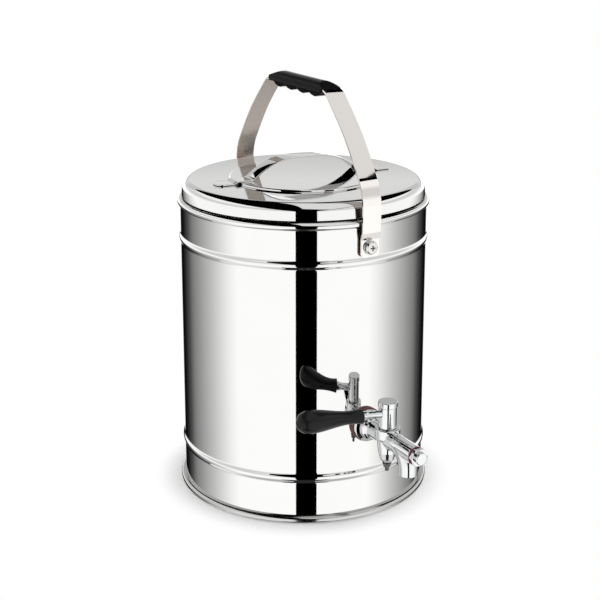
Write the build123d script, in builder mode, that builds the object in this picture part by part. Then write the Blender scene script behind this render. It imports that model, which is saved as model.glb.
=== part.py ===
from build123d import *
import os
from math import cos, radians, sin

# An insulated stainless tea urn, in millimetres. It stands on its foot ring at z = 0 with its axis on Z.
# The tap points along -Y, and the bail turns on two screws that lie on a line along Y.

# Casing, liner and base
body_r = 110.0
sheet = 0.8
foot_r = 113.9
foot_h = 6.4
foot_in_r = 107.8
lower_bead_z = 41.1
upper_bead_z = 230.5
bead_h = 8.4
lower_bead_out = 2.3
upper_bead_out = 1.8
rim_z = 266.9
rim_h = 6.5
rim_out = 2.4
liner_r = 95.0
liner_floor = 60.0
liner_corner = 10.0
flange_r = 104.0
plate_flange_h = 8.0
foam_gap = 0.3

# Lid
lid_r = 108.9
lid_seat_gap = 0.3
lid_top = 282.3
shoulder_r = 7.5
crown_r = 66.0
crown_slope = 0.8
crown_rise = 3.0
pan_r = 93.5
pan_drop = 3.9
pan_flange_z = 269.0
lid_turn = -3.0
lid_handle_w = 17.0
lid_handle_t = 1.2
lid_handle_end = 86.0
lid_handle_step = 69.5
lid_step_run = 2.6
lid_handle_foot = 52.0
lid_handle_shoulder = 33.0
lid_handle_rise = 16.2

# Bail and its pivots
pivot_z = 243.5
strap_w = 17.5
strap_t = 1.8
strap_in = 111.7
strap_joggle = 2.5
strap_low = 235.0
grip_half = 48.0
grip_w = 20.0
grip_top = 372.5
grip_under = 362.4
grip_tip = 359.0
finger_pitch = 21.0
finger_count = 4
screw_r = 2.95
screw_head_r = 5.6
screw_head_h = 3.5
run_fit = 0.05
washer_t = 0.8
washer_gap = 0.1
spacer_gap = 0.15

# Tap
tap_z = 86.0
shank_r = 10.0
shank_in = 82.0
bore_gap = 0.2
rosette_in = 113.0
rosette_out = 118.0
gasket_r = 14.8
rosette_r = 14.2
collar_r = 11.0
collar_out = 122.0
tube_r = 7.8
tube_end = 187.0
water_r = 5.0
plug_y = 144.0
barrel_top = 95.0
barrel_low = 64.0
barrel_r = 8.7
barrel_rim_r = 10.8
seat_top_r = 6.9
seat_low_r = 4.6
seat_floor = 70.0
spout_y = 176.0
spout_r = 8.0
spout_mouth = 65.0
elbow_r = 16.0
stem_r = 7.6
head_r = 8.3
head_low = 113.5
head_top = 118.5
tail_r = 1.7
tail_end = 56.0
lever_z = 107.5
lever_tilt = 5.5
lever_start = 26.0
lever_end = 86.5
bulb_at = 74.0
bulb_r = 9.7
rod_r = 2.5
rod_end = 60.0
nut_out = 91.0
plug_washer_t = 1.0
tail_gap = 0.3

# Derived places
casing_in_r = body_r - sheet
liner_out_r = liner_r + sheet
ring_r = liner_out_r + foam_gap
plate_top = foot_h + sheet
liner_base = liner_floor - sheet
flange_z = rim_z - 2 * sheet
strap_out = strap_in + strap_t
washer_in = strap_out + washer_gap
head_in = washer_in + washer_t
spacer_out = strap_in - spacer_gap
bore_r = shank_r + bore_gap
hex_in = tube_end + plug_washer_t

# Planes and axes: one looks along -Y with Z up, the next two have the distance out along -Y as their x
out_plane = Plane(origin=(0, 0, tap_z), x_dir=(0, -1, 0), z_dir=(-1, 0, 0))
pivot_plane = Plane(origin=(0, 0, pivot_z), x_dir=(0, -1, 0), z_dir=(-1, 0, 0))
plug_plane = Plane.XZ.offset(plug_y)
tap_axis = Axis((0, 0, tap_z), (0, -1, 0))
pivot_axis = Axis((0, 0, pivot_z), (0, -1, 0))
plug_axis = Axis((0, -plug_y, 0), (0, 0, 1))
lever_way = (-cos(radians(lever_tilt)), 0, sin(radians(lever_tilt)))
lever_plane = Plane(origin=(0, -plug_y, lever_z), x_dir=lever_way, z_dir=(0, 1, 0))
lever_axis = Axis((0, -plug_y, lever_z), lever_way)
handle_way = (cos(radians(lid_turn)), sin(radians(lid_turn)), 0)
handle_plane = Plane(origin=(0, 0, 0), x_dir=handle_way, z_dir=(handle_way[1], -handle_way[0], 0))

os.makedirs("parts", exist_ok=True)


def keep(builder, name):
    """Label a finished piece and write it."""
    builder.part.label = name
    export_step(builder.part, f"parts/{name}.step")


# Casing: one spun sheet with two rolled-out beads, a rolled rim and a turned-in top ring
def casing_face(radius, ring_z):
    """Draw one face of the casing's sheet, from the foot up to the edge of the top ring."""
    low = foot_h
    for bead_z, out in ((lower_bead_z, lower_bead_out), (upper_bead_z, upper_bead_out)):
        Line((radius, low), (radius, bead_z - bead_h / 2))
        ThreePointArc(
            (radius, bead_z - bead_h / 2), (radius + out, bead_z), (radius, bead_z + bead_h / 2)
        )
        low = bead_z + bead_h / 2
    Line((radius, low), (radius, rim_z - rim_h))
    ThreePointArc((radius, rim_z - rim_h), (radius + rim_out, rim_z - rim_h / 2), (radius, ring_z))
    Line((radius, ring_z), (ring_r, ring_z))


with BuildPart() as outer_casing:
    with BuildSketch(Plane.XZ):
        with BuildLine():
            casing_face(body_r, rim_z)
            casing_face(casing_in_r, rim_z - sheet)
            Line((casing_in_r, foot_h), (body_r, foot_h))
            Line((ring_r, rim_z - sheet), (ring_r, rim_z))
        make_face()
    revolve(axis=Axis.Z)
    with BuildSketch(Plane.XZ.offset(liner_r)):
        with Locations((0, tap_z)):
            Circle(bore_r)
    extrude(amount=body_r - liner_r + rim_out, mode=Mode.SUBTRACT)
    with BuildSketch(Plane.XZ):
        with Locations((0, pivot_z)):
            Circle(screw_r + 2 * run_fit)
    extrude(amount=body_r + rim_out, both=True, mode=Mode.SUBTRACT)
keep(outer_casing, "outer_casing")

# Liner: a deep-drawn pot with a rounded floor and a flange that lies under the top ring
with BuildPart() as inner_liner:
    with BuildSketch(Plane.XZ):
        with BuildLine():
            FilletPolyline(
                (0, liner_base), (liner_out_r, liner_base), (liner_out_r, flange_z), radius=liner_corner
            )
            Polyline(
                (liner_out_r, flange_z),
                (flange_r, flange_z),
                (flange_r, flange_z + sheet),
                (liner_out_r, flange_z + sheet),
                (liner_out_r, rim_z),
                (liner_r, rim_z),
            )
            FilletPolyline(
                (liner_r, rim_z), (liner_r, liner_floor), (0, liner_floor), radius=liner_corner - sheet
            )
            Line((0, liner_floor), (0, liner_base))
        make_face()
    revolve(axis=Axis.Z)
    with BuildSketch(Plane.XZ.offset(nut_out)):
        with Locations((0, tap_z)):
            Circle(bore_r)
    extrude(amount=body_r - nut_out, mode=Mode.SUBTRACT)
keep(inner_liner, "inner_liner")

# Insulation: a sleeve round the liner, with room for the tap and the pivot nuts, and a disc under it
nut_pocket_in = 101.0
nut_pocket_r = 7.0
sleeve_r = 12.5
with BuildPart() as insulation_sleeve:
    with BuildSketch(Plane.XY.offset(liner_base)):
        Circle(casing_in_r - foam_gap)
        Circle(liner_out_r + foam_gap, mode=Mode.SUBTRACT)
    extrude(amount=flange_z - liner_base)
    with BuildSketch(Plane.XZ.offset(nut_out)):
        with Locations((0, tap_z)):
            Circle(sleeve_r + foam_gap)
    extrude(amount=body_r - nut_out, mode=Mode.SUBTRACT)
    for side in (1, -1):
        with BuildSketch(Plane.XZ.offset(side * nut_pocket_in)):
            with Locations((0, pivot_z)):
                Circle(nut_pocket_r)
        extrude(amount=side * (body_r - nut_pocket_in), mode=Mode.SUBTRACT)
keep(insulation_sleeve, "insulation_sleeve")

with BuildPart() as base_insulation:
    with BuildSketch(Plane.XY.offset(plate_top)):
        Circle(casing_in_r - sheet - 2 * foam_gap)
    extrude(amount=liner_base - plate_top)
keep(base_insulation, "base_insulation")

# Base: a shallow plate that sits on the foot ring's ledge, and the rolled ring that the urn stands on
plate_gap = 0.1
with BuildPart() as bottom_plate:
    with BuildSketch(Plane.XZ):
        with BuildLine():
            edge = casing_in_r - plate_gap
            Polyline((0, foot_h), (edge, foot_h), (edge, foot_h + plate_flange_h))
            offset(amount=sheet, side=Side.LEFT)
        make_face()
    revolve(axis=Axis.Z)
keep(bottom_plate, "bottom_plate")

foot_flat_in = 109.0
foot_flat_out = 111.8
foot_chamfer = 1.2
with BuildPart() as foot_ring:
    with BuildSketch(Plane.XZ):
        with BuildLine():
            Line((foot_flat_in, 0), (foot_flat_out, 0))
            ThreePointArc((foot_flat_out, 0), (foot_r, foot_h / 2), (foot_flat_out, foot_h))
            Polyline(
                (foot_flat_out, foot_h), (foot_in_r, foot_h), (foot_in_r, foot_chamfer), (foot_flat_in, 0)
            )
        make_face()
    revolve(axis=Axis.Z)
keep(foot_ring, "foot_ring")

# Pivots: at each side a saddle spacer, a washer and a pan-head screw outside, and a weld nut inside
recess_l = 6.0
recess_w = 1.3
recess_depth = 1.8
screw_in = 102.0
pan_flat_r = 3.2
pan_edge_h = 1.0
pan_shoulder = (0.7, 1.5)
with BuildPart() as pivot_screws:
    with BuildSketch(pivot_plane):
        with BuildLine():
            crown = head_in + screw_head_h
            Polyline(
                (screw_in, 0), (screw_in, screw_r), (head_in, screw_r), (head_in, screw_head_r)
            )
            Line((head_in, screw_head_r), (head_in + pan_edge_h, screw_head_r))
            ThreePointArc(
                (head_in + pan_edge_h, screw_head_r),
                (crown - pan_shoulder[0], pan_flat_r + pan_shoulder[1]),
                (crown, pan_flat_r),
            )
            Polyline((crown, pan_flat_r), (crown, 0), (screw_in, 0))
        make_face()
    revolve(axis=pivot_axis)
    with BuildSketch(Plane.XZ.offset(head_in + screw_head_h - recess_depth)):
        with Locations((0, pivot_z)):
            Rectangle(recess_l, recess_w)
            Rectangle(recess_w, recess_l)
    extrude(amount=recess_depth, mode=Mode.SUBTRACT)
    mirror(about=Plane.XZ)
keep(pivot_screws, "pivot_screws")

washer_r = 6.4
with BuildPart() as pivot_washers:
    with BuildSketch(Plane.XZ.offset(washer_in)):
        with Locations((0, pivot_z)):
            Circle(washer_r)
            Circle(screw_r + run_fit, mode=Mode.SUBTRACT)
    extrude(amount=washer_t)
    mirror(about=Plane.XZ)
keep(pivot_washers, "pivot_washers")

with BuildPart() as pivot_spacers:
    with BuildSketch(Plane.XZ.offset(casing_in_r)):
        with Locations((0, pivot_z)):
            Circle(washer_r)
            Circle(screw_r + run_fit, mode=Mode.SUBTRACT)
    extrude(amount=spacer_out - casing_in_r)
    with Locations((0, 0, pivot_z)):
        Cylinder(body_r, 4 * washer_r, mode=Mode.SUBTRACT)
    mirror(about=Plane.XZ)
keep(pivot_spacers, "pivot_spacers")

pivot_nut_in = 103.5
pivot_nut_r = 5.8
with BuildPart() as pivot_nuts:
    with BuildSketch(Plane.XZ.offset(pivot_nut_in)):
        with Locations((0, pivot_z)):
            RegularPolygon(pivot_nut_r, 6)
            Circle(screw_r + run_fit, mode=Mode.SUBTRACT)
    extrude(amount=body_r - pivot_nut_in)
    with Locations((0, 0, pivot_z)):
        Cylinder(casing_in_r, 4 * pivot_nut_r, mode=Mode.INTERSECT)
    mirror(about=Plane.XZ)
keep(pivot_nuts, "pivot_nuts")

# Tap body: shank, collar, neck and tube in line, a tapered barrel across them and an elbow to the spout
neck_r = 8.2
neck_taper = 2.0
barrel_rim_h = 8.4
barrel_rim_slope = 1.4
barrel_low_r = 3.8
barrel_waist = 80.0
barrel_belly = (7.4, 71.5)
spout_bore_r = 5.3
with BuildPart() as tap_body:
    with BuildSketch(out_plane):
        with BuildLine():
            Polyline(
                (shank_in, 0),
                (shank_in, shank_r),
                (rosette_out, shank_r),
                (rosette_out, collar_r),
                (collar_out, collar_r),
                (collar_out + neck_taper, neck_r),
                (plug_y, tube_r),
                (tube_end, tube_r),
                (tube_end, 0),
                (shank_in, 0),
            )
        make_face()
    revolve(axis=tap_axis)
    with BuildSketch(plug_plane):
        with BuildLine():
            Polyline(
                (0, barrel_low),
                (0, barrel_top),
                (barrel_rim_r, barrel_top),
                (barrel_rim_r, barrel_top - barrel_rim_h),
                (barrel_r, barrel_top - barrel_rim_h - barrel_rim_slope),
                (barrel_r, barrel_waist),
            )
            ThreePointArc((barrel_r, barrel_waist), barrel_belly, (barrel_low_r, barrel_low))
            Line((barrel_low_r, barrel_low), (0, barrel_low))
        make_face()
    revolve(axis=plug_axis)
    with BuildLine(Plane.YZ) as elbow:
        bend_y = elbow_r - spout_y
        Line((-plug_y, tap_z), (bend_y, tap_z))
        TangentArc((bend_y, tap_z), (-spout_y, tap_z - elbow_r), tangent=(-1, 0))
        Line((-spout_y, tap_z - elbow_r), (-spout_y, spout_mouth))
    with BuildSketch(plug_plane):
        with Locations((0, tap_z)):
            Circle(spout_r)
    sweep(path=elbow.wires()[0])
    with BuildSketch(Plane.XZ.offset(shank_in)):
        with Locations((0, tap_z)):
            Circle(water_r)
    extrude(amount=tube_end - shank_in, mode=Mode.SUBTRACT)
    with BuildSketch(Plane.XY.offset(spout_mouth)):
        with Locations((0, -spout_y)):
            Circle(spout_bore_r)
    extrude(amount=tap_z - spout_mouth, mode=Mode.SUBTRACT)
    with BuildSketch(plug_plane):
        with BuildLine():
            Polyline(
                (0, barrel_low),
                (0, barrel_top),
                (seat_top_r, barrel_top),
                (seat_low_r, seat_floor),
                (tail_r + run_fit, seat_floor),
                (tail_r + run_fit, barrel_low),
                close=True,
            )
        make_face()
    revolve(axis=plug_axis, mode=Mode.SUBTRACT)
keep(tap_body, "tap_body")

# Wall fittings of the tap: rosette and red gasket outside, sleeve through the foam, gasket and nut inside
rosette_edge = 1.5
rosette_crown = (117.2, 13.0)
gasket_in = 105.2
with BuildPart() as tap_rosette:
    with BuildSketch(out_plane):
        with BuildLine():
            Polyline(
                (rosette_out, collar_r),
                (rosette_out, bore_r),
                (rosette_in, bore_r),
                (rosette_in, rosette_r),
                (rosette_in + rosette_edge, rosette_r),
            )
            ThreePointArc((rosette_in + rosette_edge, rosette_r), rosette_crown, (rosette_out, collar_r))
        make_face()
    revolve(axis=tap_axis)
keep(tap_rosette, "tap_rosette")

with BuildPart() as wall_gasket:
    with BuildSketch(Plane.XZ.offset(gasket_in)):
        with Locations((0, tap_z)):
            Circle(gasket_r)
            Circle(bore_r, mode=Mode.SUBTRACT)
    extrude(amount=rosette_in - gasket_in)
    with Locations((0, 0, tap_z)):
        Cylinder(body_r, 4 * gasket_r, mode=Mode.SUBTRACT)
keep(wall_gasket, "wall_gasket")

with BuildPart() as wall_sleeve:
    with BuildSketch(Plane.XZ.offset(nut_out)):
        with Locations((0, tap_z)):
            Circle(sleeve_r)
            Circle(bore_r, mode=Mode.SUBTRACT)
    extrude(amount=body_r - nut_out)
    with Locations((0, 0, tap_z)):
        Cylinder(casing_in_r, 4 * sleeve_r, mode=Mode.INTERSECT)
        Cylinder(liner_out_r, 4 * sleeve_r, mode=Mode.SUBTRACT)
keep(wall_sleeve, "wall_sleeve")

inner_gasket_r = 15.5
with BuildPart() as inner_gasket:
    with BuildSketch(Plane.XZ.offset(nut_out)):
        with Locations((0, tap_z)):
            Circle(inner_gasket_r)
            Circle(bore_r, mode=Mode.SUBTRACT)
    extrude(amount=body_r - nut_out)
    with Locations((0, 0, tap_z)):
        Cylinder(liner_r, 4 * inner_gasket_r, mode=Mode.INTERSECT)
keep(inner_gasket, "inner_gasket")

lock_nut_t = 7.0
lock_nut_r = 15.6
with BuildPart() as lock_nut:
    with BuildSketch(Plane.XZ.offset(nut_out - lock_nut_t)):
        with Locations((0, tap_z)):
            RegularPolygon(lock_nut_r, 6)
            Circle(shank_r + run_fit, mode=Mode.SUBTRACT)
    extrude(amount=lock_nut_t)
keep(lock_nut, "lock_nut")

# Cleaning plug: a red washer, a hexagon and a round boss, with a spigot in the tube's end
end_washer_r = 8.5
hex_r = 8.0
hex_t = 4.6
boss_r = 5.4
boss_t = 3.4
boss_edge = 1.2
spigot_l = 1.2
with BuildPart() as end_plug_washer:
    with BuildSketch(Plane.XZ.offset(tube_end)):
        with Locations((0, tap_z)):
            Circle(end_washer_r)
            Circle(water_r, mode=Mode.SUBTRACT)
    extrude(amount=plug_washer_t)
keep(end_plug_washer, "end_plug_washer")

with BuildPart() as end_plug:
    with BuildSketch(Plane.XZ.offset(hex_in)):
        with Locations((0, tap_z)):
            RegularPolygon(hex_r, 6)
    extrude(amount=hex_t)
    with BuildSketch(Plane.XZ.offset(hex_in + hex_t)):
        with Locations((0, tap_z)):
            Circle(boss_r)
    extrude(amount=boss_t)
    fillet(end_plug.edges().group_by(Axis.Y)[0], boss_edge)
    with BuildSketch(Plane.XZ.offset(tube_end - spigot_l)):
        with Locations((0, tap_z)):
            Circle(water_r - run_fit)
    extrude(amount=plug_washer_t + spigot_l)
keep(end_plug, "end_plug")

# Tap key: the tapered plug with its cross port, stem, disc head and tail, turned by the lever
port_r = 4.2
rod_in = 2.0
head_edge = 0.8
with BuildPart() as tap_plug:
    with BuildSketch(plug_plane):
        with BuildLine():
            Polyline(
                (0, tail_end),
                (tail_r, tail_end),
                (tail_r, seat_floor + tail_gap),
                (seat_low_r - run_fit, seat_floor + tail_gap),
                (seat_top_r - run_fit, barrel_top),
                (seat_top_r - run_fit, barrel_top + tail_gap),
                (stem_r, barrel_top + tail_gap),
                (stem_r, head_low),
                (head_r, head_low),
                (head_r, head_top - head_edge),
                (head_r - head_edge, head_top),
                (0, head_top),
                close=True,
            )
        make_face()
    revolve(axis=plug_axis)
    with BuildSketch(Plane.YZ):
        with Locations((-plug_y, tap_z)):
            Circle(port_r)
    extrude(amount=2 * stem_r, both=True, mode=Mode.SUBTRACT)
    with BuildSketch(Plane(origin=lever_plane.origin, z_dir=lever_way).offset(rod_in)):
        Circle(rod_r)
    extrude(amount=2 * stem_r, mode=Mode.SUBTRACT)
keep(tap_plug, "tap_plug")

tail_washer_r = 3.9
tail_washer_t = 1.2
tail_nut_r = 3.5
tail_nut_t = 2.6
with BuildPart() as tail_washer:
    with BuildSketch(Plane.XY.offset(barrel_low - tail_gap)):
        with Locations((0, -plug_y)):
            Circle(tail_washer_r)
            Circle(tail_r, mode=Mode.SUBTRACT)
    extrude(amount=-tail_washer_t)
keep(tail_washer, "tail_washer")

with BuildPart() as tail_nut:
    with BuildSketch(Plane.XY.offset(barrel_low - tail_gap - tail_washer_t)):
        with Locations((0, -plug_y)):
            RegularPolygon(tail_nut_r, 6)
            Circle(tail_r, mode=Mode.SUBTRACT)
    extrude(amount=-tail_nut_t)
keep(tail_nut, "tail_nut")

with BuildPart() as lever_rod:
    with BuildSketch(Plane(origin=lever_plane.origin, z_dir=lever_way).offset(rod_in)):
        Circle(rod_r)
    extrude(amount=rod_end - rod_in)
keep(lever_rod, "lever_rod")

ferrule_r = 3.3
ferrule_end_r = 3.9
ferrule_flare = 3.0
with BuildPart() as lever_ferrule:
    with BuildSketch(lever_plane):
        with BuildLine():
            Polyline(
                (ferrule_r, rod_r),
                (ferrule_r, ferrule_r),
                (lever_start - 2 * ferrule_flare, ferrule_r),
                (lever_start - ferrule_flare, ferrule_end_r),
                (lever_start, ferrule_end_r),
                (lever_start, rod_r),
                close=True,
            )
        make_face()
    revolve(axis=lever_axis)
    with Locations((0, -plug_y, lever_z)):
        Cylinder(stem_r, 4 * ferrule_r, mode=Mode.SUBTRACT)
keep(lever_ferrule, "lever_ferrule")

# The lever's outline as distance out and radius: a flared root, a slim neck and a full bulb
lever_outline = [(lever_start, 6.4), (31.0, 5.8), (38.0, 5.6), (50.0, 6.7), (63.0, 8.9), (bulb_at, bulb_r)]
with BuildPart() as lever_grip:
    with BuildSketch(lever_plane):
        with BuildLine():
            Polyline((rod_end, 0), (rod_end, rod_r), (lever_start, rod_r), lever_outline[0])
            Spline(*lever_outline, tangents=[(1, -0.15), (1, 0)])
            EllipticalCenterArc((bulb_at, 0), lever_end - bulb_at, bulb_r, start_angle=0, arc_size=90)
            Line((lever_end, 0), (rod_end, 0))
        make_face()
    revolve(axis=lever_axis)
keep(lever_grip, "lever_grip")

# Bail: half of the bent strip, from its joggled screw end up to the middle of the grip, then mirrored
strap_up = strap_in + strap_joggle
strap_top = 365.4
strap_path = [
    (strap_in, strap_low),
    (strap_in, 250.5),
    (strap_up, 257.0),
    (strap_up, 279.0),
    (104.5, 304.0),
    (84.0, 333.0),
    (51.0, strap_top),
    (0, strap_top),
]
strap_bends = [4.0, 4.0, 45.0, 100.0, 180.0, 14.0]
strap_corner = 3.0
with BuildPart() as bail_strap:
    with BuildSketch(Plane.YZ):
        with BuildLine():
            FilletPolyline(*strap_path, radius=strap_bends)
            offset(amount=strap_t, side=Side.RIGHT)
        make_face()
    extrude(amount=strap_w / 2, both=True)
    fillet(bail_strap.edges().filter_by(Axis.Y).group_by(Axis.Z)[0], strap_corner)
    mirror(about=Plane.XZ)
    with BuildSketch(Plane.XZ):
        with Locations((0, pivot_z)):
            Circle(screw_r + run_fit)
    extrude(amount=strap_up + strap_t, both=True, mode=Mode.SUBTRACT)
keep(bail_strap, "bail_strap")

# Grip: a crowned section along Y, cut to a side view with finger bumps, moulded round the strip
finger_start = -finger_pitch * finger_count / 2
grip_side = 366.5
end_round = 6.0
with BuildPart() as bail_grip:
    with BuildSketch(Plane.YZ):
        with BuildLine():
            for finger in range(finger_count):
                left = finger_start + finger * finger_pitch
                ThreePointArc(
                    (left, grip_under), (left + finger_pitch / 2, grip_tip), (left + finger_pitch, grip_under)
                )
            Line((-finger_start, grip_under), (grip_half, grip_under))
            Line((grip_half, grip_under), (grip_half, grip_top - end_round))
            TangentArc((grip_half, grip_top - end_round), (grip_half - end_round, grip_top), tangent=(0, 1))
            Line((grip_half - end_round, grip_top), (end_round - grip_half, grip_top))
            TangentArc((end_round - grip_half, grip_top), (-grip_half, grip_top - end_round), tangent=(-1, 0))
            Line((-grip_half, grip_top - end_round), (-grip_half, grip_under))
            Line((-grip_half, grip_under), (finger_start, grip_under))
        make_face()
    extrude(amount=grip_w / 2, both=True)
    with BuildSketch(Plane.XZ):
        with BuildLine():
            half_w = grip_w / 2
            below = grip_tip - 1
            Polyline((half_w, grip_side), (half_w, below), (-half_w, below), (-half_w, grip_side))
            ThreePointArc((-half_w, grip_side), (0, grip_top), (half_w, grip_side))
        make_face()
    extrude(amount=2 * grip_half, both=True, mode=Mode.INTERSECT)
    add(bail_strap.part, mode=Mode.SUBTRACT)
keep(bail_grip, "bail_grip")

# Lid: a pressed shell with skirt, shoulder and raised crown, an inner pan with foam, and the arched handle
crown_top = lid_top + crown_rise
crown_bends = [1.0, 1.2]
with BuildPart() as lid_shell:
    with BuildSketch(Plane.XZ):
        with BuildLine():
            FilletPolyline(
                (lid_r, rim_z + lid_seat_gap),
                (lid_r, lid_top),
                (crown_r, lid_top),
                (crown_r - crown_slope, crown_top),
                (0, crown_top),
                radius=[shoulder_r, *crown_bends],
            )
            offset(amount=sheet, side=Side.LEFT)
        make_face()
    revolve(axis=Axis.Z)
keep(lid_shell, "lid_shell")

pan_z = rim_z - pan_drop
pan_bends = [3.0, 1.2]
with BuildPart() as lid_inner_pan:
    with BuildSketch(Plane.XZ):
        with BuildLine():
            FilletPolyline(
                (0, pan_z), (pan_r, pan_z), (pan_r, pan_flange_z), (lid_r - sheet, pan_flange_z),
                radius=pan_bends,
            )
            offset(amount=sheet, side=Side.LEFT)
        make_face()
    revolve(axis=Axis.Z)
keep(lid_inner_pan, "lid_inner_pan")

with BuildPart() as lid_insulation:
    with BuildSketch(Plane.XY.offset(pan_z + sheet)):
        Circle(pan_r - 4 * sheet)
    extrude(amount=lid_top - 2 * sheet - pan_z)
keep(lid_insulation, "lid_insulation")

tab_corner = 7.0
handle_half = [
    (lid_handle_shoulder, crown_top + lid_handle_rise),
    (lid_handle_foot, crown_top),
    (lid_handle_step - lid_step_run, crown_top),
    (lid_handle_step, lid_top),
    (lid_handle_end, lid_top),
]
handle_bends = [60.0, 6.0, 1.5, 1.5]
with BuildPart() as lid_handle:
    with BuildSketch(handle_plane):
        with BuildLine():
            FilletPolyline(
                *[(-along, high) for along, high in reversed(handle_half)],
                *handle_half,
                radius=[*reversed(handle_bends), *handle_bends],
            )
            offset(amount=lid_handle_t, side=Side.LEFT)
        make_face()
    extrude(amount=lid_handle_w / 2, both=True)
    fillet(lid_handle.edges().filter_by(Axis.Z), tab_corner)
keep(lid_handle, "lid_handle")
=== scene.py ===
from math import ceil, cos, pi, radians, sin, tan

import bmesh
import bpy
from mathutils import Matrix, Vector


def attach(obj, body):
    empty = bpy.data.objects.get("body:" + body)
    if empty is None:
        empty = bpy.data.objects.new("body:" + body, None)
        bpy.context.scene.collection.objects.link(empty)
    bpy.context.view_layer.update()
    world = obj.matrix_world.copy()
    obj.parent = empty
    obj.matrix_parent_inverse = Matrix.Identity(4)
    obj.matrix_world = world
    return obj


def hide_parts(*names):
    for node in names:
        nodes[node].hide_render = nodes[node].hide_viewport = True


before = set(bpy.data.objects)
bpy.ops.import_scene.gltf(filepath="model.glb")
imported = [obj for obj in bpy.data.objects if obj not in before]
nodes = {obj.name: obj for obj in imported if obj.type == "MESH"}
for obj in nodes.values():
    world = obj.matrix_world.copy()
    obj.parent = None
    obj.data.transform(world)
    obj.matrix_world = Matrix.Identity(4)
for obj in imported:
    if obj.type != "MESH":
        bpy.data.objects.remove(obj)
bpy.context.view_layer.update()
bpy.ops.object.select_all(action="DESELECT")


# Foot ring: the rolled edge that the urn stands on. It is stainless sheet, rolled over the casing's lower
# edge and polished with it, with a narrow flat where it meets the table.
mm = 0.001
same_point = 1e-7
sliver = 2e-6


def rounded(corners, step=9.0):
    """Turn corners, each x, y and a bend radius if it has one, into the points of a line with round bends."""
    points = []
    for number, (x, y, *bend) in enumerate(corners):
        here = Vector((x, y))
        if not bend:
            points.append(here)
            continue
        back = (Vector(corners[number - 1][:2]) - here).normalized()
        ahead = (Vector(corners[(number + 1) % len(corners)][:2]) - here).normalized()
        turn = pi - back.angle(ahead)
        centre = here + (back + ahead).normalized() * bend[0] / cos(turn / 2)
        arm = here + back * bend[0] * tan(turn / 2) - centre
        sense = -1 if back.cross(ahead) > 0 else 1
        count = max(2, ceil(turn / radians(step)))
        for part in range(count + 1):
            points.append(centre + Matrix.Rotation(sense * turn * part / count, 2) @ arm)
    return points


def drawn(name, corners, closed):
    """Draw a line in the XZ plane, in millimetres: one point first, then one extrusion for each step of it."""
    bpy.ops.object.select_all(action="DESELECT")
    bpy.ops.mesh.primitive_plane_add(size=mm)
    piece = bpy.context.object
    piece.name = name
    piece.data.name = name
    points = [Vector((x, 0.0, z)) * mm for x, z in rounded(corners)]
    if closed:
        points.append(points[0])
    bpy.ops.object.mode_set(mode="EDIT")
    bpy.ops.mesh.merge(type="CENTER")
    bpy.ops.transform.translate(value=points[0])
    for here, there in zip(points, points[1:]):
        bpy.ops.mesh.extrude_vertices_move(TRANSFORM_OT_translate={"value": there - here})
    bpy.ops.mesh.select_all(action="SELECT")
    bpy.ops.mesh.remove_doubles(threshold=same_point)
    return piece


def placed(piece, place):
    """Move a piece from where it was drawn to its place, and leave its object at the origin."""
    bpy.ops.object.mode_set(mode="OBJECT")
    piece.matrix_world = place
    bpy.ops.object.transform_apply(location=True, rotation=True, scale=True)
    return piece


def turned(name, corners, place=Matrix(), steps=96, closed=True):
    """Model a turned piece: draw half its section beside the Z axis and spin it once round."""
    solid = corners[0][0] == 0 and corners[-1][0] == 0
    piece = drawn(name, corners, closed and not solid)
    bpy.ops.mesh.spin(steps=steps, angle=2 * pi, center=(0, 0, 0), axis=(0, 0, 1))
    bpy.ops.mesh.select_all(action="SELECT")
    bpy.ops.mesh.remove_doubles(threshold=same_point)
    bpy.ops.mesh.normals_make_consistent(inside=False)
    return placed(piece, place)


def picked(piece):
    """Select one piece alone and make it the one that tools act on."""
    bpy.ops.object.select_all(action="DESELECT")
    piece.select_set(True)
    bpy.context.view_layer.objects.active = piece


def modified(piece, kind, **settings):
    """Add a modifier with its settings and apply it."""
    picked(piece)
    step = piece.modifiers.new(kind.lower(), kind)
    for key, value in settings.items():
        setattr(step, key, value)
    bpy.ops.object.modifier_apply(modifier=step.name)


def fitted(piece, body, slot, finish, *replaced, angle=32.0):
    """Finish a piece: clean edges, smooth shading with true flats, its material, body and replaced nodes."""
    picked(piece)
    bpy.ops.object.mode_set(mode="EDIT")
    bpy.ops.mesh.select_all(action="SELECT")
    bpy.ops.mesh.remove_doubles(threshold=sliver)
    bpy.ops.mesh.dissolve_degenerate(threshold=sliver)
    bpy.ops.object.mode_set(mode="OBJECT")
    bpy.ops.object.shade_smooth_by_angle(angle=radians(angle))
    modified(piece, "WEIGHTED_NORMAL", keep_sharp=True, weight=100)
    piece.data.materials.clear()
    piece.data.materials.append(finish)
    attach(piece, body)
    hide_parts(*replaced)
    return piece


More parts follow.
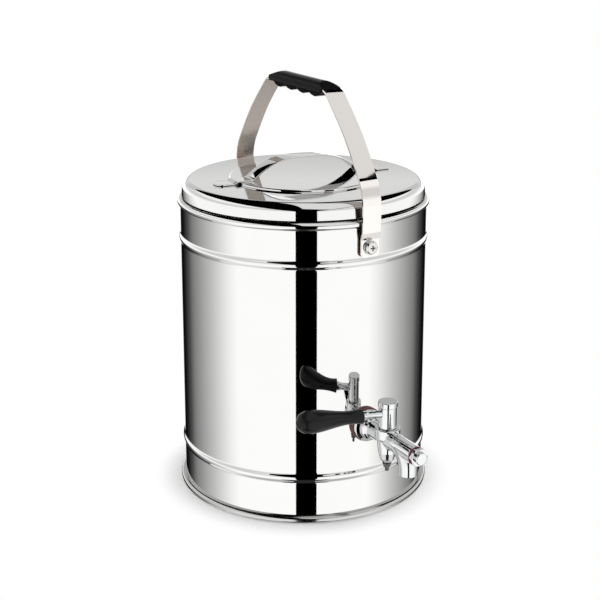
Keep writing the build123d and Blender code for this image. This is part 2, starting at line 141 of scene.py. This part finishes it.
class Shade:
    """A socket among one material's nodes, so that shading sums are written as plain sums."""

    def __init__(self, tree, socket=None):
        self.tree = tree
        self.socket = socket

    def node(self, kind, inputs=None, output=0, stops=None, **settings):
        """Add a node: its settings first, then its ramp's stops, then the values or links of its inputs."""
        made = self.tree.nodes.new(kind)
        for key, value in settings.items():
            setattr(made, key, value)
        for number, (place, level) in enumerate(stops or []):
            spots = made.color_ramp.elements
            spot = spots[number] if number < len(spots) else spots.new(place)
            spot.position = place
            spot.color = (level, level, level, 1.0)
        for key, value in (inputs or {}).items():
            if isinstance(value, Shade):
                self.tree.links.new(value.socket, made.inputs[key])
            else:
                made.inputs[key].default_value = value
        return Shade(self.tree, made.outputs[output] if made.outputs else None)

    def maths(self, operation, *values):
        """Add a Math node on one, two or three values."""
        return self.node("ShaderNodeMath", dict(enumerate(values)), operation=operation)

    def stretched(self, *scale):
        """Scale a vector along each axis."""
        return self.node("ShaderNodeVectorMath", {0: self, 1: scale}, operation="MULTIPLY")

    def noise(self, size, detail=3.0, rough=0.55):
        """Give smooth noise whose blotches are about one size across, in metres."""
        sockets = {"Vector": self, "Scale": 1.0 / size, "Detail": detail, "Roughness": rough}
        return self.node("ShaderNodeTexNoise", sockets, "Fac")

    def blend(self, low, high):
        """Mix two colours by this value."""
        return self.node(
            "ShaderNodeMix", {"Factor": self, "A": low, "B": high}, 2, data_type="RGBA", clamp_factor=True
        )

    def __add__(self, other):
        return self.maths("ADD", self, other)

    def __sub__(self, other):
        return self.maths("SUBTRACT", self, other)

    def __rsub__(self, other):
        return self.maths("SUBTRACT", other, self)

    def __mul__(self, other):
        return self.maths("MULTIPLY", self, other)

    def __truediv__(self, other):
        return self.maths("DIVIDE", self, other)

    def __gt__(self, other):
        return self.maths("GREATER_THAN", self, other)

    def __lt__(self, other):
        return self.maths("LESS_THAN", self, other)

    __radd__ = __add__
    __rmul__ = __mul__


def coated(name, constants, sockets_of):
    """Make a material from its constants and a function that gives its varying sockets for a place on it."""
    finish = bpy.data.materials.new(name)
    finish.use_nodes = True
    tree = finish.node_tree
    surface = tree.nodes["Principled BSDF"]
    for key, value in constants.items():
        surface.inputs[key].default_value = value
    for key, shade in sockets_of(Shade(tree).node("ShaderNodeTexCoord", output="Object")).items():
        tree.links.new(shade.socket, surface.inputs[key])
    return finish


def steel(name, colour, rough, grain, depth):
    """Polished steel: bright, with faint polishing lines and handling haze in its roughness."""

    def sockets(place):
        haze = place.noise(0.05, 4.0)
        lines = place.stretched(*grain).noise(1.0, 2.0)
        deep = tuple(0.94 * part for part in colour)
        return {
            "Base Color": (haze * 0.7 + lines * 0.3).blend((*deep, 1.0), (*colour, 1.0)),
            "Roughness": rough * (0.55 + haze * 0.5 + lines * 0.4),
            "Normal": place.node("ShaderNodeBump", {"Strength": 0.2, "Distance": depth, "Height": lines}),
        }

    return coated(name, {"Metallic": 1.0}, sockets)


foot_in, foot_out, foot_height, roll = 107.8, 113.9, 6.4, 2.9
round_lines = (18.0, 18.0, 900.0)
foot = turned(
    "foot_roll",
    [(foot_in, 0, 1.2), (foot_out, 0, roll), (foot_out, foot_height, roll), (foot_in, foot_height, 0.3)],
    steps=192,
)
# The foot ring is coloured darker than the casing, though it is the same polished sheet: painted shade.
painted_shade_foot_steel = steel("painted_shade_foot_steel", (0.46, 0.457, 0.45), 0.12, round_lines, 3e-6)
fitted(foot, "urn", "polished_steel", painted_shade_foot_steel, "foot_ring")


# Casing: the outer can, spun from one stainless sheet and polished to a mirror. Two beads are rolled out of
# its wall to stiffen it, and its top is rolled into a rim and turned in to the mouth of the liner.
wall = 110.0
sheet = 0.8
rim_out, rim_top, mouth = 112.4, 266.9, 96.1
tap_z = 86.0
pivot_z = 243.5
can = [(wall, foot_height)]
for bead_z, out, half, flat, bend in ((41.1, 1.5, 3.95, 1.13, 4.5), (230.5, 1.25, 3.77, 1.09, 4.9)):
    can += [
        (wall, bead_z - half, bend),
        (wall + out, bead_z - flat, bend),
        (wall + out, bead_z + flat, bend),
        (wall, bead_z + half, bend),
    ]
    # Rings of edges either side of each hole keep the cuts' triangles short.
    if bead_z < tap_z:
        can += [(wall, tap_z - 10.8), (wall, tap_z + 10.8)]
can += [(wall, pivot_z - 3.7), (wall, pivot_z + 3.7)]
can += [(wall, 260.6, 1.2), (rim_out, 261.6, 1.6), (rim_out, rim_top, 3.4), (mouth, rim_top)]
casing = turned("casing", can, steps=360, closed=False)
modified(casing, "SOLIDIFY", thickness=sheet * mm, offset=-1.0, use_even_offset=True)


def cut(piece, tool, operation="DIFFERENCE"):
    """Cut, trim or join a piece with another solid, which is used up."""
    modified(piece, "BOOLEAN", operation=operation, object=tool, solver="EXACT")
    bpy.data.objects.remove(tool)


tap_line = Matrix.Translation((0, 0, tap_z * mm)) @ Matrix.Rotation(radians(90.0), 4, "X")
pivot_line = Matrix.Translation((0, 0, pivot_z * mm)) @ Matrix.Rotation(radians(90.0), 4, "X")
cut(casing, turned("tap_hole", [(0, 104), (10.2, 104), (10.2, 118), (0, 118)], tap_line))
cut(casing, turned("pivot_holes", [(0, -118), (3.05, -118), (3.05, 118), (0, 118)], pivot_line, 32))
casing_steel = steel("casing_steel", (0.64, 0.638, 0.632), 0.03, round_lines, 2e-6)
fitted(casing, "urn", "polished_steel", casing_steel, "outer_casing")


# Inside of the can: the drawn stainless pot that holds the tea, the plate that closes the base, and the mineral
# wool between pot and can. Their shapes are plain, so the solids stay and get their finishes.
def dressed(finish, *names):
    """Give solids that stay as they are their finish."""
    for name in names:
        nodes[name].material_slots[0].material = finish


def moulded(name, dark, light, rough, shine, patch, grain, depth):
    """A finish that isn't metal: patchy colour, uneven sheen and a fine grain."""

    def sockets(place):
        patches = place.noise(patch, 4.0)
        fine = place.noise(grain, 3.0, 0.6)
        return {
            "Base Color": patches.blend((*dark, 1.0), (*light, 1.0)),
            "Roughness": rough * (0.8 + patches * 0.25 + fine * 0.15),
            "Normal": place.node("ShaderNodeBump", {"Strength": 0.4, "Distance": depth, "Height": fine}),
        }

    return coated(name, {"Specular IOR Level": shine}, sockets)


liner_steel = steel("liner_steel", (0.56, 0.56, 0.55), 0.2, (12.0, 12.0, 700.0), 6e-6)
wool = moulded("mineral_wool", (0.62, 0.53, 0.33), (0.76, 0.68, 0.47), 0.95, 0.3, 0.008, 0.0012, 3e-4)
dressed(liner_steel, "inner_liner", "bottom_plate", "lid_inner_pan")
dressed(wool, "insulation_sleeve", "base_insulation", "lid_insulation")


# Wall fittings of the tap: a chromed cup rosette on a red-brown rubber gasket outside, and a sleeve, a second
# gasket and a lock nut inside. The rosette is turned brass, polished and plated.
def plated(name, colour, rough, ripple):
    """Plating on a casting: mirror bright over a slightly uneven polished ground, with water haze."""

    def sockets(place):
        waves = place.noise(0.006, 2.0)
        haze = place.noise(0.012, 5.0)
        deep = tuple(0.9 * part for part in colour)
        return {
            "Base Color": haze.blend((*deep, 1.0), (*colour, 1.0)),
            "Roughness": rough * (0.5 + haze),
            "Normal": place.node("ShaderNodeBump", {"Strength": 0.35, "Distance": ripple, "Height": waves}),
        }

    return coated(name, {"Metallic": 1.0}, sockets)


tap_chrome = plated("tap_chrome", (0.63, 0.635, 0.64), 0.05, 1.2e-4)
red_rubber = moulded(
    "gasket_rubber", (0.105, 0.042, 0.034), (0.16, 0.068, 0.052), 0.6, 0.3, 0.004, 0.0006, 1e-4
)
all_ways = (260.0, 260.0, 260.0)
zinc = steel("zinc_plate", (0.58, 0.58, 0.57), 0.17, all_ways, 3e-6)
dressed(red_rubber, "wall_gasket", "inner_gasket")
dressed(zinc, "wall_sleeve", "lever_rod", "pivot_spacers", "pivot_nuts")
dressed(tap_chrome, "lock_nut")
rosette = turned(
    "rosette",
    [(10.2, 113), (14.2, 113, 0.3), (14.2, 116.0, 1.4), (11.0, 118.0, 0.5), (10.2, 118)],
    tap_line,
)
fitted(rosette, "urn", "chrome_plate", tap_chrome, "tap_rosette")


# Tap body: one brass casting of shank, neck, tube, tapered barrel and spout, bored through for the tea, then
# polished and chromed. The casting's joins are filleted, so its parts are joined and softened as one skin.
barrel_y, spout_y = -144.0, -176.0
barrel_line = Matrix.Translation((0, barrel_y * mm, 0))
spout_line = Matrix.Translation((0, spout_y * mm, 0))
tap = turned(
    "tap_casting",
    [(0, 82), (10, 82, 0.5), (10, 118), (11, 118), (11, 122, 0.8), (8.2, 124.5, 1.5), (7.8, 144), (7.8, 187),
     (0, 187)],
    tap_line,
)
barrel = turned(
    "barrel",
    [(0, 64), (3.8, 64, 0.6), (6.2, 67.4, 4.0), (7.7, 73.0, 9.0), (8.7, 80.0, 12.0), (8.7, 85.2, 0.8),
     (10.8, 86.6, 0.8), (10.8, 95, 0.6), (0, 95)],
    barrel_line,
)
spout_r, sweep_r = 8, 16.0
square = [(-spout_r, -spout_r), (spout_r, -spout_r), (spout_r, spout_r), (-spout_r, spout_r)]
elbow = drawn("elbow", [(x, z, spout_r) for x, z in square], True)
bpy.ops.transform.translate(value=(0, (spout_y + sweep_r + 10.0) * mm, tap_z * mm))
bpy.ops.mesh.extrude_region_move(TRANSFORM_OT_translate={"value": (0, -10.0 * mm, 0)})
sweep_centre = (0, (spout_y + sweep_r) * mm, (tap_z - sweep_r) * mm)
bpy.ops.mesh.spin(steps=20, angle=radians(-90.0), center=sweep_centre, axis=(1, 0, 0))
bpy.ops.mesh.extrude_region_move(TRANSFORM_OT_translate={"value": (0, 0, -5.0 * mm)})
bpy.ops.mesh.select_all(action="SELECT")
bpy.ops.mesh.remove_doubles(threshold=same_point)
bpy.ops.mesh.fill_holes(sides=0)
bpy.ops.mesh.normals_make_consistent(inside=False)
bpy.ops.object.mode_set(mode="OBJECT")
cut(tap, barrel, "UNION")
cut(tap, elbow, "UNION")
cut(tap, turned("waterway", [(0, 80), (5, 80), (5, 190), (0, 190)], tap_line, 53))
seat = [(0, 60), (1.75, 60), (1.75, 70), (4.6, 70), (6.9, 95), (6.9, 100), (0, 100)]
cut(tap, turned("seat", seat, barrel_line, 71))
spout_bore = [(0, 60), (5.9, 60), (5.9, 65), (5.3, 66), (5.3, 84), (0, 84)]
cut(tap, turned("spout_bore", spout_bore, spout_line, 43))
modified(tap, "REMESH", mode="VOXEL", voxel_size=0.4 * mm)
modified(tap, "SMOOTH", factor=0.5, iterations=10)
fitted(tap, "urn", "chrome_plate", tap_chrome, "tap_body", angle=70.0)


# Cleaning plug: a chromed hexagon with chamfered corners and a round boss, screwed into the tube's end on a
# thin red fibre washer.
def prism(name, corners, depth, place=Matrix()):
    """Draw a closed outline in the XZ plane, fill it and push it out along -Y."""
    piece = drawn(name, corners, True)
    bpy.ops.mesh.edge_face_add()
    bpy.ops.mesh.extrude_region_move(TRANSFORM_OT_translate={"value": (0, -depth * mm, 0)})
    bpy.ops.mesh.select_all(action="SELECT")
    bpy.ops.mesh.normals_make_consistent(inside=False)
    return placed(piece, place)


def hexagon(name, radius, thick, chamfer, place):
    """A nut blank along the local Z axis: a hexagon whose corners are turned off at both faces."""
    corners = [(radius * cos(radians(60 * side)), radius * sin(radians(60 * side))) for side in range(6)]
    blank = prism(name, corners, thick, place @ Matrix.Rotation(radians(-90.0), 4, "X"))
    spare = 0.1
    clear = radius + spare
    flat = clear - 2 * chamfer - 2 * spare
    rim = [(0, -spare), (flat, -spare), (clear, chamfer), (clear, thick - chamfer), (flat, thick + spare),
           (0, thick + spare)]
    cut(blank, turned("rim", rim, place), "INTERSECT")
    return blank


fibre = moulded("washer_fibre", (0.10, 0.016, 0.026), (0.15, 0.028, 0.04), 0.6, 0.3, 0.003, 0.0004, 6e-5)
end_washer = turned("fibre_washer", [(5, 187), (7.9, 187, 0.25), (7.9, 188, 0.25), (5, 188)], tap_line)
fitted(end_washer, "urn", "red_rubber", fibre, "end_plug_washer")
end_plug = hexagon("cleaning_plug", 8.0, 4.6, 0.5, tap_line @ Matrix.Translation((0, 0, 188.0 * mm)))
cut(end_plug, turned("boss", [(0, 190), (5.4, 190), (5.4, 196, 1.1), (0, 196)], tap_line, 64), "UNION")
cut(end_plug, turned("spigot", [(0, 185.8), (4.95, 185.8), (4.95, 190), (0, 190)], tap_line, 64), "UNION")
modified(end_plug, "BEVEL", width=0.18 * mm, segments=2, limit_method="ANGLE", angle_limit=radians(25.0))
fitted(end_plug, "urn", "chrome_plate", tap_chrome, "end_plug")


# Tap key: the tapered plug that turns in the barrel, with its cross port, round stem, flat disc head and thin
# threaded tail. It is turned brass, chromed above the barrel, and a washer and nut hold it down.
key = turned(
    "tap_key",
    [(0, 56), (1.7, 56, 0.4), (1.7, 70.3), (4.55, 70.3, 0.3), (6.85, 95), (6.85, 95.3), (7.6, 95.3, 0.35),
     (7.6, 113.5, 0.5), (8.3, 113.9, 0.3), (8.3, 118.5, 0.7), (0, 118.5)],
    barrel_line,
)
across = Matrix.Translation((0, barrel_y * mm, tap_z * mm)) @ Matrix.Rotation(radians(90.0), 4, "Y")
cut(key, turned("port", [(0, -10), (4.2, -10), (4.2, 10), (0, 10)], across, 40))
fitted(key, "tap_key", "chrome_plate", tap_chrome, "tap_plug")
tail_top = 69.0
# The key's tail below the barrel, its washer and its nut are coloured near-black: painted shade under the
# barrel.
under_barrel_painted_shade = steel("tail_painted_shade", (0.09, 0.09, 0.088), 0.3, all_ways, 1e-5)
key.data.materials.append(under_barrel_painted_shade)
for face in key.data.polygons:
    face.material_index = 1 if face.center.z < tail_top * mm else 0
tail_washer = turned(
    "key_washer", [(1.75, 62.5), (3.9, 62.5, 0.25), (3.9, 63.7, 0.25), (1.75, 63.7)], barrel_line
)
fitted(tail_washer, "tap_key", "chrome_plate", under_barrel_painted_shade, "tail_washer")
tail_nut = hexagon("key_nut", 3.5, 2.6, 0.3, barrel_line @ Matrix.Translation((0, 0, 59.9 * mm)))
cut(tail_nut, turned("thread", [(0, 58), (1.72, 58), (1.72, 64), (0, 64)], barrel_line, 32))
fitted(tail_nut, "tap_key", "chrome_plate", under_barrel_painted_shade, "tail_nut")


# Lever: a pear-shaped black phenolic handle moulded on a steel rod, which is screwed into the stem through a
# short chromed ferrule. The mould leaves a smooth, slightly grained skin.
black_plastic = moulded(
    "black_moulding", (0.006, 0.006, 0.006), (0.011, 0.011, 0.011), 0.22, 0.13, 0.01, 0.0004, 4e-5
)
lever_z = 107.5
lever_tilt = radians(5.5)
lever_line = Matrix.Translation((0, barrel_y * mm, lever_z * mm)) @ Matrix.Rotation(lever_tilt - pi / 2, 4, "Y")
ferrule = turned(
    "ferrule",
    [(2.5, 7.2), (3.3, 7.2), (3.3, 20.0, 1.5), (3.9, 22.5, 1.0), (3.9, 26, 0.4), (2.5, 26)],
    lever_line,
)
fitted(ferrule, "tap_key", "chrome_plate", tap_chrome, "lever_ferrule")
lever = turned(
    "lever",
    [(0, 60), (2.5, 60), (2.5, 26), (5.8, 26), (6.4, 26.6), (6.25, 28), (5.8, 32), (5.6, 38), (5.95, 44),
     (6.75, 50), (7.85, 57), (8.95, 63.5), (9.6, 70), (9.7, 75), (9.2, 79), (7.9, 82.5), (5.6, 85.1),
     (2.8, 86.3), (0, 86.5)],
    lever_line,
    48,
)
modified(lever, "SUBSURF", levels=2, render_levels=2)
fitted(lever, "tap_key", "black_plastic", black_plastic, "lever_grip")


# Bail: one strip of stainless, bent to shape, brushed lengthwise and joggled out over the lid at each side.
# Its ends are rounded and drilled for the pivot screws.
def bent(name, corners, width, thick, place, rows=1, crown=0.0, reach=1.0):
    """Bend a strip: draw its edge, pull it wide row by row, crown it within its reach and thicken it."""
    piece = drawn(name, corners, False)
    bpy.ops.transform.translate(value=(0, -width / 2 * mm, 0))
    for row in range(rows):
        bpy.ops.mesh.extrude_region_move(TRANSFORM_OT_translate={"value": (0, width / rows * mm, 0)})
    bpy.ops.mesh.select_all(action="SELECT")
    bpy.ops.mesh.normals_make_consistent(inside=False)
    shape = bmesh.from_edit_mesh(piece.data)
    shape.normal_update()
    for point in shape.verts:
        share = min(max(4.0 * (1.0 - abs(point.co.x) / (reach * mm)), 0.0), 1.0)
        point.co -= point.normal * crown * mm * share * (2.0 * point.co.y / (width * mm)) ** 2
    bmesh.update_edit_mesh(piece.data)
    placed(piece, place)
    modified(piece, "SOLIDIFY", thickness=thick * mm, offset=1.0, use_even_offset=True)
    return piece


def strip_sockets(place):
    """Strip steel: fine lengthwise polish outside, duller and warmer on the inner face, with soft haze."""
    facing = place.node("ShaderNodeTexCoord", output="Normal")
    above_lid = (0.0, 0.0, -0.3)
    from_lid = place.node("ShaderNodeVectorMath", {0: place, 1: above_lid}, operation="ADD")
    from_lid = from_lid.stretched(0.0, 1.0, 1.0)
    outward = place.node("ShaderNodeVectorMath", {0: facing, 1: from_lid}, "Value", operation="DOT_PRODUCT")
    inner = outward < 0.0
    haze = place.noise(0.03, 4.0)
    lines = place.stretched(1100.0, 16.0, 16.0).noise(1.0, 2.0)
    polish = (haze * 0.6 + lines * 0.4).blend((0.625, 0.604, 0.578, 1.0), (0.675, 0.654, 0.628, 1.0))
    mill = (haze * 0.5 + lines * 0.5).blend((0.57, 0.51, 0.465, 1.0), (0.66, 0.6, 0.55, 1.0))
    return {
        "Base Color": inner.blend(polish, mill),
        "Roughness": 0.02 + haze * 0.015 + lines * 0.01 + inner * 0.2,
        "Normal": place.node("ShaderNodeBump", {"Strength": 0.2, "Distance": 1e-6, "Height": lines}),
    }


strap_steel = coated("strap_steel", {"Metallic": 1.0}, strip_sockets)
strip_width, strip_thick, strip_end = 17.5, 1.8, 235
leg = [(111.7, strip_end), (111.7, 250.5, 4), (114.2, 257, 4), (114.2, 290.3, 40), (84, 333, 180),
       (51, 365.4, 14)]
quarter = Matrix.Rotation(radians(90.0), 4, "Z")
strap = bent("strap", [(-y, *rest) for y, *rest in leg] + leg[::-1], strip_width, strip_thick, quarter)
edge = strip_width / 2
blank = [(-edge, strip_end, 3), (edge, strip_end, 3), (edge, 380), (-edge, 380)]
cut(strap, prism("blank", blank, 260.0, Matrix.Translation((0, 130.0 * mm, 0))), "INTERSECT")
cut(strap, turned("strap_holes", [(0, -118), (3.0, -118), (3.0, 118), (0, 118)], pivot_line, 32))
modified(strap, "BEVEL", width=0.25 * mm, segments=2, limit_method="ANGLE", angle_limit=radians(40.0))
fitted(strap, "bail", "strap_steel", strap_steel, "bail_strap")


# Grip: a hard black moulding round the top of the strip, domed above, with four finger bumps set in below. Its
# ends slope down to thin rounded edges where the strip comes out.
grip_top, bump_pitch, bump_low, bump_root = 372.5, 21, 358.4, 363.4
side_view = [(-50.3, 366.0), (-44, 362.6)]
for bump in range(4):
    start = -42 + bump_pitch * bump
    side_view += [(start, bump_root), (start + 4.5, 360.0), (start + 10.5, bump_low), (start + 16.5, 360.0)]
side_view += [(42, bump_root), (44, 362.6), (50.3, 366.0), (50.3, 367.0)]
side_view += [(36, grip_top, 16), (-36, grip_top, 16), (-50.3, 367.0)]
grip = prism("hand_grip", side_view, 22.0, quarter @ Matrix.Translation((0, 11.0 * mm, 0)))
dome = []
for part in range(16):
    rise = radians(12 * part)
    dome.append((10.0 * cos(rise), 363.9 + 8.6 * sin(rise)))
dome += [(-10.0, 363.3), (-7.9, 363.0), (-7.6, bump_low, 2.2)]
dome += [(7.6, bump_low, 2.2), (7.9, 363.0), (10.0, 363.3)]
cut(grip, prism("section", dome, 110.0, Matrix.Translation((0, 55.0 * mm, 0))), "INTERSECT")
plan = [(-10.2, -50.4, 5.5), (10.2, -50.4, 5.5), (10.2, 50.4, 5.5), (-10.2, 50.4, 5.5)]
lying = Matrix.Translation((0, 0, 350.0 * mm)) @ Matrix.Rotation(radians(-90.0), 4, "X")
cut(grip, prism("plan", plan, 30.0, lying), "INTERSECT")


def copied(piece):
    """Copy a piece with a mesh of its own."""
    twin = piece.copy()
    twin.data = piece.data.copy()
    bpy.context.scene.collection.objects.link(twin)
    return twin


cut(grip, copied(strap))
modified(grip, "REMESH", mode="VOXEL", voxel_size=0.35 * mm)
modified(grip, "SMOOTH", factor=0.5, iterations=12)
grip_black = moulded(
    "grip_moulding", (0.004, 0.004, 0.004), (0.008, 0.008, 0.008), 0.2, 0.025, 0.01, 0.0004, 4e-5
)
fitted(grip, "bail", "black_plastic", grip_black, "bail_grip", angle=75.0)


# Pivots: at each side a pan-head screw with a cross recess and a flat washer, plated steel, on which the bail
# turns. One side is modelled and copied to the other.
def paired(piece):
    """Copy a piece half a turn round the urn and join the two."""
    twin = copied(piece)
    twin.data.transform(Matrix.Rotation(pi, 4, "Z"))
    picked(piece)
    twin.select_set(True)
    bpy.ops.object.join()
    return piece


screw = turned(
    "screws",
    [(0, 102), (2.95, 102, 0.5), (2.95, 114.4), (5.6, 114.4, 0.2), (5.6, 116.4, 0.8), (4.6, 117.4, 0.8),
     (0, 117.9)],
    pivot_line,
    64,
)
slot_wide, slot_foot = 1.4, 115.2
blade = [(-2.6, 118.5), (2.6, 118.5), (2.2, slot_foot), (-2.2, slot_foot)]
for spin in (0.0, 90.0):
    crossing = pivot_line @ Matrix.Rotation(radians(spin), 4, "Z")
    crossing = crossing @ Matrix.Translation((0, slot_wide / 2 * mm, 0))
    cut(screw, prism("blade", blade, slot_wide, crossing))
modified(screw, "BEVEL", width=0.1 * mm, segments=2, limit_method="ANGLE", angle_limit=radians(40.0))
fitted(paired(screw), "urn", "fastener_steel", zinc, "pivot_screws")
washer = turned(
    "washers", [(3.0, 113.6), (6.4, 113.6, 0.2), (6.4, 114.4, 0.3), (3.0, 114.4)], pivot_line, 64
)
fitted(paired(washer), "urn", "fastener_steel", zinc, "pivot_washers")


# Lid: a pressed shell of polished stainless. Its skirt leans in a little, its shoulder is round, and a low
# flat crown is raised in the middle of its top.
lid_top, crown_top = 282.3, 284.3
lid = turned(
    "lid",
    [(108.87, 268.2), (107.5, lid_top, 7.5), (66, lid_top, 0.5), (65.2, crown_top, 1.2), (0, crown_top)],
    steps=360,
    closed=False,
)
modified(lid, "SOLIDIFY", thickness=sheet * mm, offset=-1.0, use_even_offset=True)
fitted(lid, "lid", "polished_steel", casing_steel, "lid_shell")


# Lid handle: a stainless strip arched over the crown. It steps down over the crown's edge, and its two
# round-ended tabs are spot-welded to the lid's top.
half = [(33, 301.5, 60), (52, 284.4, 6), (67.4, 284.4, 1.8), (70.6, 282.6, 1.8), (86, 282.6)]
arch = [(-along, *rest) for along, *rest in half[::-1]] + half
askew = Matrix.Rotation(radians(-3.0), 4, "Z")
handle = bent("lid_arch", arch, 17.0, 1.2, askew, rows=10, crown=0.15, reach=56.0)
tabs = [(-85.9, -8.7, 7), (85.9, -8.7, 7), (85.9, 8.7, 7), (-85.9, 8.7, 7)]
lying = Matrix.Translation((0, 0, 270.0 * mm)) @ askew @ Matrix.Rotation(radians(-90.0), 4, "X")
cut(handle, prism("tabs", tabs, 40.0, lying), "INTERSECT")
modified(handle, "BEVEL", width=0.25 * mm, segments=2, limit_method="ANGLE", angle_limit=radians(40.0))
fitted(handle, "lid", "polished_steel", casing_steel, "lid_handle")


# Floor: a plain white paper sweep. Close to the urn it takes the soft shadow of the foot, and further out it
# fades into the white of the background.
bpy.ops.mesh.primitive_plane_add(size=40.0)
floor = bpy.context.object
floor.name = "floor"
floor.visible_glossy = False
paper = bpy.data.materials.new("floor_paper")
paper.use_nodes = True
sweep = paper.node_tree
matt = sweep.nodes["Principled BSDF"]
matt.inputs["Base Color"].default_value = (0.95, 0.95, 0.95, 1.0)
matt.inputs["Specular IOR Level"].default_value = 0.0
spot = Shade(sweep).node("ShaderNodeTexCoord", output="Object")
out = spot.node("ShaderNodeVectorMath", {0: spot}, "Value", operation="LENGTH")
shadow_edge = {"Value": out, "From Min": 0.1125, "From Max": 0.14}
fade = out.node("ShaderNodeMapRange", shadow_edge, interpolation_type="SMOOTHSTEP")
direct = Shade(sweep).node("ShaderNodeLightPath", output="Is Camera Ray")
white = Shade(sweep).node("ShaderNodeEmission", {"Strength": 1.0})
shaded = Shade(sweep, matt.outputs[0])
mixed = shaded.node("ShaderNodeMixShader", {0: fade * direct, 1: shaded, 2: white})
sweep.links.new(mixed.socket, sweep.nodes["Material Output"].inputs["Surface"])
floor.data.materials.append(paper)


# Light: a white tent that only reflections see. It has a panel at each side with a black gap between them in
# front, a ceiling to the right, a grey backdrop and pale paper below. One soft lamp shades what isn't metal.
away = radians(-29.23)
right = (cos(away), sin(away), 0.0)
toward = (sin(away), -cos(away), 0.0)
world = bpy.data.worlds.new("studio")
bpy.context.scene.world = world
world.use_nodes = True
sky = world.node_tree
ray = Shade(sky).node("ShaderNodeTexCoord", output="Generated")


def along(direction):
    """How far a ray points along a direction."""
    return ray.node("ShaderNodeVectorMath", {0: ray, 1: direction}, "Value", operation="DOT_PRODUCT")


side = along(right)
front = along(toward)
up = along((0.0, 0.0, 1.0))
turn = side.maths("ARCTAN2", side, front)
wide = side.maths("ABSOLUTE", turn) / pi
reach = side.maths("ABSOLUTE", side)
back = 0.0 - front
wall_stops = [(0, 1.0), (63, 1.0), (73, 0.87), (83, 0.70), (94, 0.53), (104, 0.41), (114, 0.30), (124, 0.21),
              (135, 0.068), (145, 0.018), (153, 0.003), (164, 0.003), (170, 0.72), (180, 0.72)]
low_panels = wide.node(
    "ShaderNodeValToRGB", {"Fac": wide}, stops=[(angle / 180, level) for angle, level in wall_stops]
)
gap_from, gap_to = radians(-7.0), radians(12.5)
gap = (turn > gap_from) * (turn < gap_to)
right_rise, left_rise = 0.86, -0.94
panel_top = side.maths("MAXIMUM", side * right_rise, side * left_rise)
fall_stops = [(0.04, 0.95), (0.2, 0.64), (0.4, 0.64), (0.5, 0.9)]
fall = up.node("ShaderNodeValToRGB", {"Fac": up}, stops=fall_stops)
panel = (panel_top > up) * (1 - gap) * fall
# The ceiling and the backdrop are cut to shape by planes through the urn.
ceiling = (side + up * 0.07 > front * 0.045) * (up > side * 1.0) * (up > side + back * 1.2)
ceiling = ceiling * (up + side * 0.6 > 0.64) * (up * 1.25 > back) * 0.7
backdrop_stops = [(0, 1.0), (0.2, 1.0), (0.3, 0.36), (0.4, 0.4), (0.49, 0.5), (0.58, 0.61), (0.66, 0.59),
                  (1, 0.5)]
backdrop = up.node("ShaderNodeValToRGB", {"Fac": (up - 0.1) * 5.0}, stops=backdrop_stops)
backdrop_wide, backdrop_high = 0.65, 0.56
behind = (back > 0.0) * (back * backdrop_wide > reach) * (back * backdrop_high > up)
upper = behind * backdrop + (1 - behind) * panel.maths("MAXIMUM", panel, ceiling)
lower_edge = {"Value": up, "From Min": -0.191, "From Max": -0.13, "To Min": 1.0, "To Max": 0.0}
low = up.node("ShaderNodeMapRange", lower_edge)
paper_edge = sin(radians(-44.0))
deep = up < paper_edge
shade_from, shade_to = radians(-24.5), radians(29.5)
near = (turn > shade_from) * (turn < shade_to)
paper_fall = {"Value": up, "From Min": -0.9, "From Max": -0.83, "To Min": 0.42, "To Max": 0.75}
table = (1 - near) * up.node("ShaderNodeMapRange", paper_fall) + near * 0.02
seen = (1 - low) * upper + (low - deep) * low_panels * (1 - gap) + deep * table
direct = Shade(sky).node("ShaderNodeLightPath", output="Is Camera Ray")
glossy = Shade(sky).node("ShaderNodeLightPath", output="Is Glossy Ray")
tent_level = 1.56
level = direct + (1 - direct) * (glossy * seen * tent_level + (1 - glossy) * 1.0)
sky.links.new(level.socket, sky.nodes["Background"].inputs["Color"])
lamp = bpy.data.lights.new("soft_lamp", "AREA")
lamp.energy = 4.0
lamp.size = 1.0
soft = bpy.data.objects.new("soft_lamp", lamp)
bpy.context.scene.collection.objects.link(soft)
soft.location = (0.6, -0.8, 1.6)
soft.rotation_euler = (Vector((0, 0, 0.15)) - soft.location).to_track_quat("-Z", "Y").to_euler()
soft.visible_glossy = False


# Camera: where the photograph was taken from, a little above the lid and to the left of the tap, with the
# lens shifted down as the photograph's was, so that the can's sides stay nearly upright.
lens = bpy.data.cameras.new("camera")
camera = bpy.data.objects.new("camera", lens)
bpy.context.scene.collection.objects.link(camera)
bpy.context.scene.camera = camera
lens.lens = 81.31
lens.sensor_width = 36.0
lens.shift_x = -3.33 / 600
lens.shift_y = -0.12
distance, height, pitch = 1.1809, 0.5388, 14.45
camera.location = (toward[0] * distance, toward[1] * distance, height)
camera.rotation_euler = (radians(90.0 - pitch), 0.0, away)
bpy.context.scene.view_settings.view_transform = "Standard"
